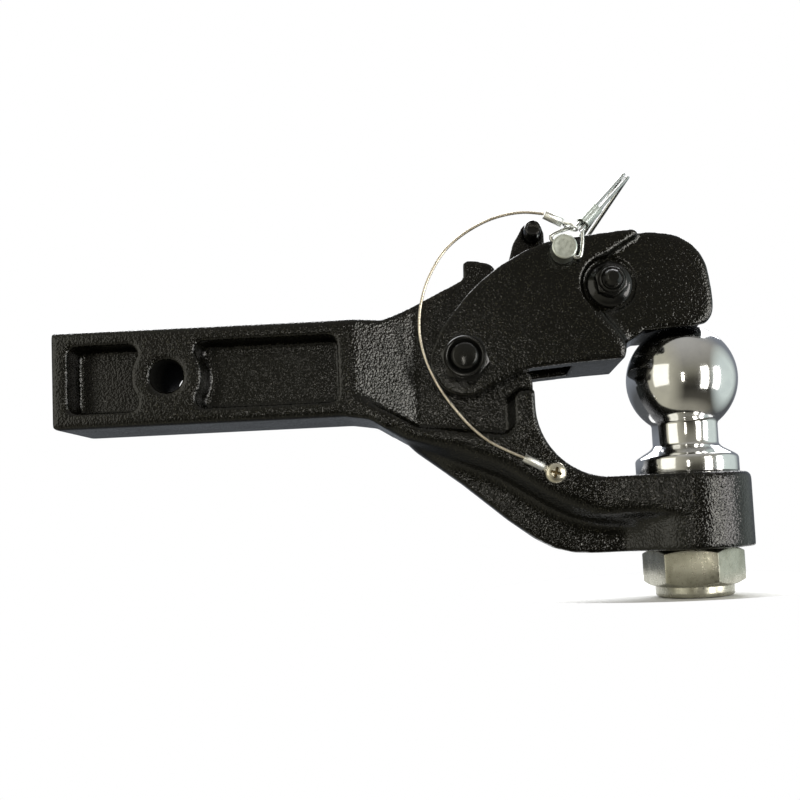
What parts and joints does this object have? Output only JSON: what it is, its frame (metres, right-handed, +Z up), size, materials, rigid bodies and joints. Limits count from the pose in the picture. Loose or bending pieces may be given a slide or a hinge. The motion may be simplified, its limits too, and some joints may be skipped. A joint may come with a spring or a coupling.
{
  "type": "combination ball and pintle hook",
  "caption": "Cast pintle hook on a square receiver shank, with a tow ball, hinged latch, lock lever, safety pin with wire bail and cable lanyard.",
  "frame": {"origin": "centre of the hitch pin hole, on the hook's middle plane", "axes": "+X along the shank towards the ball, +Y towards the bolt heads' side, +Z up along the ball's axis"},
  "size_m": [0.361, 0.0834, 0.2313],
  "materials": {
    "casting_paint": "textured semi-gloss black",
    "black_hardware": "smooth semi-gloss black",
    "chrome": "polished chrome",
    "zinc": "zinc plated",
    "nylon": "natural nylon",
    "spring_steel": "bright spring wire",
    "cable_steel": "stranded steel cable",
    "screw_plate": "nickel plated"
  },
  "bodies": {
    "hook": {"hook_body": "casting_paint", "tow_ball": "chrome", "ball_nut": "zinc", "nut_insert": "nylon", "pivot_bolt": "black_hardware", "pivot_nut": "black_hardware", "lanyard_cable": "cable_steel", "lower_ferrule": "cable_steel", "lanyard_screw": "screw_plate"},
    "latch": {"latch_jaw": "casting_paint", "lever_bolt": "black_hardware", "lever_nut": "black_hardware", "lever_spring": "spring_steel"},
    "lever": {"lock_lever": "casting_paint", "lever_handle": "black_hardware"},
    "safety_pin": {"safety_pin": "zinc"},
    "bail": {"pin_bail": "spring_steel", "near_sleeve": "zinc", "far_sleeve": "zinc", "upper_ferrule": "cable_steel"}
  },
  "joints": [
    {"name": "latch_open", "type": "hinge", "parent": "hook", "child": "latch", "pos_m": [0.1535, 0, 0], "axis": [0, -1, 0], "range_deg": [0, 40], "deforming": ["lanyard_cable"]},
    {"name": "lever_lift", "type": "hinge", "parent": "latch", "child": "lever", "pos_m": [0.23, 0, 0.037], "axis": [0, 1, 0], "range_deg": [0, 30], "stiffness_Nm_per_rad": 0.3},
    {"name": "pin_pull", "type": "slide", "parent": "latch", "child": "safety_pin", "axis": [0, -1, 0], "range_m": [0, 0.062]},
    {"name": "bail_swing", "type": "hinge", "parent": "safety_pin", "child": "bail", "pos_m": [0.2065, -0.0321, 0.054], "axis": [0.7727, 0, -0.6347], "range_deg": [0, 100]}
  ],
  "couplings": [
    {"joint": "lever_lift", "follows": "latch_open", "ratio": 0.75},
    {"joint": "bail_swing", "follows": "pin_pull", "rad_per_m": 28.1}
  ]
}
